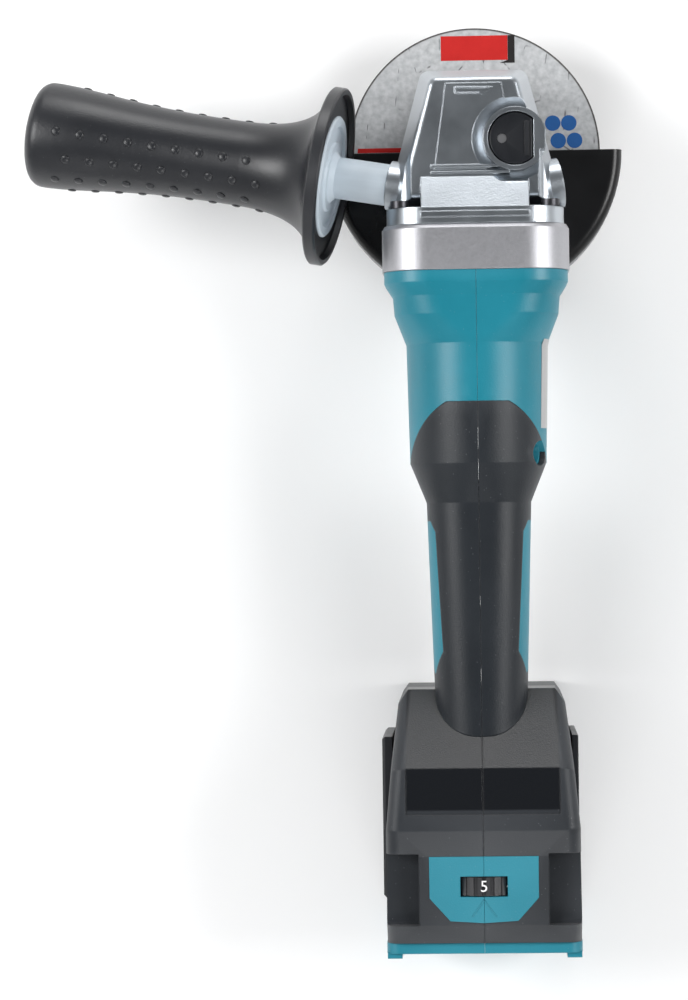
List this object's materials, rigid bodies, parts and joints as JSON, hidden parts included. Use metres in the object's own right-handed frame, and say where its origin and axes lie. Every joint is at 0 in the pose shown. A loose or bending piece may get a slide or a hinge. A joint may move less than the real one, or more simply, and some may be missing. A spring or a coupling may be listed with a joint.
{
  "type": "angle grinder",
  "caption": "Cordless angle grinder with a side handle, wheel guard, spindle lock, paddle switch under the grip, speed dial and battery rails",
  "frame": {"origin": "on the spindle axis, in the plane of the grinding wheel's upper flat face", "axes": "+Z along the spindle away from the wheel, towards the spindle lock; +Y from the battery base towards the head; +X towards the side opposite the fitted side handle"},
  "size_m": [0.2332, 0.3632, 0.112],
  "materials": {
    "ground_steel": "ground",
    "zinc_steel": "zinc plated",
    "wheel_abrasive": "paper faced abrasive",
    "black_steel": "black oxide",
    "gear_steel": "hardened",
    "cast_aluminium": "cast, satin",
    "black_plastic": "moulded",
    "spring_steel": "drawn",
    "black_sheet": "gloss black paint",
    "satin_silver": "satin silver",
    "teal_plastic": "moulded",
    "grip_rubber": "moulded elastomer",
    "cover_rubber": "moulded elastomer",
    "dial_plastic": "moulded",
    "board_green": "circuit board",
    "heat_sink": "finned",
    "brass_blade": "plated",
    "lamination_steel": "laminated",
    "fan_plastic": "moulded",
    "copper_wire": "enamelled copper",
    "grey_plastic": "moulded",
    "handle_black": "moulded, bumps"
  },
  "bodies": {
    "tool_body": {"gear_housing": "cast_aluminium", "gear_housing_screws": "black_steel", "bearing_box": "cast_aluminium", "bearing_box_screws": "black_steel", "spindle_bearing_lower": "ground_steel", "spindle_bearing_upper": "ground_steel", "housing_ring": "satin_silver", "housing_left": "teal_plastic", "housing_right": "teal_plastic", "grip_rubber_left": "grip_rubber", "grip_rubber_right": "grip_rubber", "base_cover_left": "cover_rubber", "base_cover_right": "cover_rubber", "dust_cover_left": "black_plastic", "dust_cover_right": "black_plastic", "housing_screws": "black_steel", "dial_sensor": "board_green", "paddle_pin": "ground_steel", "paddle_spring": "spring_steel", "trigger_switch": "black_plastic", "controller": "heat_sink", "terminal_block": "dial_plastic", "terminals": "brass_blade", "rotor_bearing_front": "ground_steel", "rotor_bearing_rear": "ground_steel", "stator": "lamination_steel", "stator_coils": "copper_wire", "sensor_board": "board_green", "lock_spring": "spring_steel"},
    "spindle_group": {"spindle": "ground_steel", "inner_flange": "zinc_steel", "grinding_wheel": "wheel_abrasive", "lock_nut": "zinc_steel", "dust_ring": "black_steel", "bevel_gear": "gear_steel"},
    "rotor_group": {"rotor_shaft": "ground_steel", "rotor_core": "lamination_steel", "cooling_fan": "fan_plastic", "pinion": "gear_steel"},
    "guard_group": {"wheel_guard": "black_sheet", "guard_band": "black_sheet", "guard_clamp_screw": "zinc_steel"},
    "lock_group": {"spindle_lock_button": "black_plastic", "lock_pin": "ground_steel"},
    "paddle_group": {"paddle_lever": "black_plastic", "lock_off_pin": "ground_steel"},
    "lock_off_group": {"lock_off_lever": "black_plastic"},
    "plunger_group": {"switch_plunger": "dial_plastic"},
    "dial_group": {"speed_dial": "dial_plastic"},
    "handle_stud_group": {"handle_stud": "zinc_steel"},
    "handle_group": {"handle_core": "grey_plastic", "handle_grip": "handle_black"}
  },
  "joints": [
    {"name": "spindle_spin", "type": "hinge", "parent": "tool_body", "child": "spindle_group", "pos_m": [0, 0, 0], "axis": [0, 0, 1], "continuous": true},
    {"name": "rotor_spin", "type": "hinge", "parent": "tool_body", "child": "rotor_group", "pos_m": [0, 0, 0.046], "axis": [0, 1, 0], "continuous": true},
    {"name": "guard_turn", "type": "hinge", "parent": "tool_body", "child": "guard_group", "pos_m": [0, 0, 0], "axis": [0, 0, 1], "range_deg": [-90, 90]},
    {"name": "lock_press", "type": "slide", "parent": "tool_body", "child": "lock_group", "axis": [0, 0, -1], "range_m": [0, 0.0036], "stiffness_N_per_m": 600, "springref_m": -0.002, "deforming": ["lock_spring"]},
    {"name": "paddle_squeeze", "type": "hinge", "parent": "tool_body", "child": "paddle_group", "pos_m": [0, -0.135, 0.019], "axis": [-1, 0, 0], "range_deg": [0, 6], "stiffness_Nm_per_rad": 1.5, "springref_deg": -11.46},
    {"name": "lock_off_tilt", "type": "hinge", "parent": "paddle_group", "child": "lock_off_group", "pos_m": [0, -0.17, 0.0125], "axis": [1, 0, 0], "range_deg": [0, 25], "stiffness_Nm_per_rad": 0.02, "springref_deg": -11.46},
    {"name": "plunger_push", "type": "slide", "parent": "tool_body", "child": "plunger_group", "axis": [0, 0, 1], "range_m": [0, 0.0028]},
    {"name": "dial_turn", "type": "hinge", "parent": "tool_body", "child": "dial_group", "pos_m": [0, -0.2836, 0.0596], "axis": [0, 1, 0], "range_deg": [-160, 0]},
    {"name": "handle_travel", "type": "slide", "parent": "tool_body", "child": "handle_stud_group", "axis": [-0.9761, 0.1739, -0.1305], "range_m": [0, 0.0063]},
    {"name": "handle_turn", "type": "hinge", "parent": "handle_stud_group", "child": "handle_group", "pos_m": [-0.0327, -0.0167, 0.0475], "axis": [-0.9761, 0.1739, -0.1305], "range_deg": [0, 1800]}
  ],
  "couplings": [
    {"joint": "rotor_spin", "follows": "spindle_spin", "ratio": -3.3636},
    {"joint": "plunger_push", "follows": "paddle_squeeze", "m_per_rad": 0.025},
    {"joint": "handle_travel", "follows": "handle_turn", "m_per_rad": 0.00019894}
  ]
}
